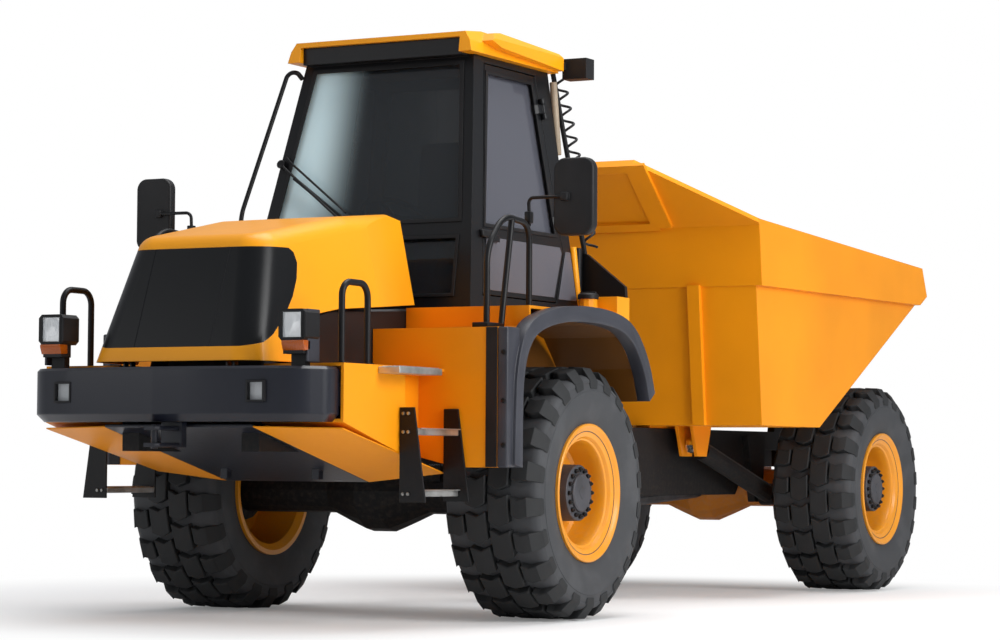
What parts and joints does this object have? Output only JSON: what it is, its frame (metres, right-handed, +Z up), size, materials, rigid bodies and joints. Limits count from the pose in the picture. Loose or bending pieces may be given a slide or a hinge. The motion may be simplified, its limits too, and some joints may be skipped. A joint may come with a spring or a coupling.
{
  "type": "articulated dump truck",
  "caption": "Articulated dump truck with a steered joint behind the cab, a tipping load body, big lugged tyres, a forward-tilting hood and a hinged cab door.",
  "frame": {"origin": "bottom centre of the bounding box, on the floor", "axes": "+Y towards the tail, +X the truck's left side, +Z up"},
  "size_m": [2.842, 7.24, 3.135],
  "materials": {
    "cab_paint": "satin yellow paint",
    "cab_black": "satin black paint",
    "dump_paint": "satin yellow paint, worn inside",
    "belly_orange": "satin yellow paint in shade",
    "bumper_dark": "satin dark grey paint",
    "chassis_paint": "satin black paint",
    "axle_paint": "satin yellow paint",
    "rim_paint": "satin yellow paint",
    "cylinder_paint": "satin black paint",
    "grey_plastic": "grained grey",
    "black_plastic": "grained black",
    "grille_black": "grained black",
    "lamp_black": "black housing",
    "interior": "grained dark grey",
    "black_rail": "satin black",
    "step_steel": "galvanised",
    "engine_grey": "grey",
    "chrome_rod": "polished",
    "lamp_lens": "clear ribbed lens",
    "glass": "clear, faint green",
    "tyre": "matt rubber",
    "seat_fabric": "dark cloth"
  },
  "bodies": {
    "front_frame": {"front_chassis": "chassis_paint", "front_axle": "axle_paint", "engine_block": "engine_grey", "engine_sides": "black_plastic", "belly_plate": "belly_orange", "bumper": "bumper_dark", "tow_clevis": "bumper_dark", "wings": "cab_paint", "mudguards": "grey_plastic", "handrails": "black_rail", "lamps": "lamp_black", "lamp_glass": "lamp_lens", "ladders": "step_steel", "tank": "cab_paint", "rear_strut": "black_rail", "coil_hose": "black_plastic", "cab_frame": "cab_black", "cab_roof": "cab_paint", "cab_glass": "glass", "seat": "seat_fabric", "console": "interior", "steering_wheel": "interior", "mirrors": "black_plastic"},
    "hitch": {"hitch_block": "chassis_paint"},
    "rear_frame": {"rear_chassis": "chassis_paint", "rear_axle": "axle_paint", "propshaft": "engine_grey"},
    "dump": {"dump_body": "dump_paint"},
    "hood": {"hood": "cab_paint", "hood_grille": "grille_black"},
    "door": {"door": "cab_black", "door_glass": "glass"},
    "tip_barrel": {"tip_barrels": "cylinder_paint"},
    "tip_rod": {"tip_rods": "chrome_rod"},
    "wheel_front_left": {"tyre_front_left": "tyre", "rim_front_left": "rim_paint"},
    "wheel_front_right": {"tyre_front_right": "tyre", "rim_front_right": "rim_paint"},
    "wheel_rear_left": {"tyre_rear_left": "tyre", "rim_rear_left": "rim_paint"},
    "wheel_rear_right": {"tyre_rear_right": "tyre", "rim_rear_right": "rim_paint"},
    "steer_barrel_left": {"steer_barrel_left": "cylinder_paint"},
    "steer_rod_left": {"steer_rod_left": "chrome_rod"},
    "steer_barrel_right": {"steer_barrel_right": "cylinder_paint"},
    "steer_rod_right": {"steer_rod_right": "chrome_rod"}
  },
  "joints": [
    {"name": "roll_front_left", "type": "hinge", "parent": "front_frame", "child": "wheel_front_left", "pos_m": [0.976, -1.4325, 0.66], "axis": [1, 0, 0], "continuous": true},
    {"name": "roll_front_right", "type": "hinge", "parent": "front_frame", "child": "wheel_front_right", "pos_m": [-0.976, -1.4325, 0.66], "axis": [1, 0, 0], "continuous": true},
    {"name": "roll_rear_left", "type": "hinge", "parent": "rear_frame", "child": "wheel_rear_left", "pos_m": [0.976, 2.8075, 0.66], "axis": [1, 0, 0], "continuous": true},
    {"name": "roll_rear_right", "type": "hinge", "parent": "rear_frame", "child": "wheel_rear_right", "pos_m": [-0.976, 2.8075, 0.66], "axis": [1, 0, 0], "continuous": true},
    {"name": "steer", "type": "hinge", "parent": "front_frame", "child": "hitch", "pos_m": [0, 0.4075, 0.8], "axis": [0, 0, 1], "range_deg": [-45, 45]},
    {"name": "oscillate", "type": "hinge", "parent": "hitch", "child": "rear_frame", "pos_m": [0, 0.4075, 0.8], "axis": [0, 1, 0], "range_deg": [-12, 12]},
    {"name": "tip", "type": "hinge", "parent": "rear_frame", "child": "dump", "pos_m": [0, 3.1175, 1.2], "axis": [-1, 0, 0], "range_deg": [0, 65]},
    {"name": "hood_tilt", "type": "hinge", "parent": "front_frame", "child": "hood", "pos_m": [0.3, -3.4125, 1.325], "axis": [1, 0, 0], "range_deg": [0, 60]},
    {"name": "door_swing", "type": "hinge", "parent": "front_frame", "child": "door", "pos_m": [0.6673, -0.6385, 2.05], "axis": [-0.1278, -0.1077, 0.9859], "range_deg": [0, 90]},
    {"name": "steer_barrel_turn_left", "type": "hinge", "parent": "front_frame", "child": "steer_barrel_left", "pos_m": [0.33, -0.4925, 0.66], "axis": [0, 0, 1], "range_deg": [-8, 8]},
    {"name": "steer_rod_slide_left", "type": "slide", "parent": "steer_barrel_left", "child": "steer_rod_left", "axis": [-0.0866, 0.9962, 0], "range_m": [-0.2, 0.2]},
    {"name": "steer_barrel_turn_right", "type": "hinge", "parent": "front_frame", "child": "steer_barrel_right", "pos_m": [-0.33, -0.4925, 0.66], "axis": [0, 0, 1], "range_deg": [-8, 8]},
    {"name": "steer_rod_slide_right", "type": "slide", "parent": "steer_barrel_right", "child": "steer_rod_right", "axis": [0.0866, 0.9962, 0], "range_m": [-0.2, 0.2]},
    {"name": "tip_barrel_turn", "type": "hinge", "parent": "rear_frame", "child": "tip_barrel", "pos_m": [0, 2.4975, 0.62], "axis": [-1, 0, 0], "range_deg": [0, 70]},
    {"name": "tip_rod_slide", "type": "slide", "parent": "tip_barrel", "child": "tip_rod", "axis": [0, -0.9672, 0.2541], "range_m": [0, 0.95]}
  ],
  "couplings": [
    {"joint": "steer_barrel_turn_left", "follows": "steer", "ratio": -0.02},
    {"joint": "steer_rod_slide_left", "follows": "steer", "m_per_rad": 0.225},
    {"joint": "steer_barrel_turn_right", "follows": "steer", "ratio": -0.02},
    {"joint": "steer_rod_slide_right", "follows": "steer", "m_per_rad": -0.225},
    {"joint": "tip_barrel_turn", "follows": "tip", "ratio": 0.998},
    {"joint": "tip_rod_slide", "follows": "tip", "m_per_rad": 0.804}
  ]
}
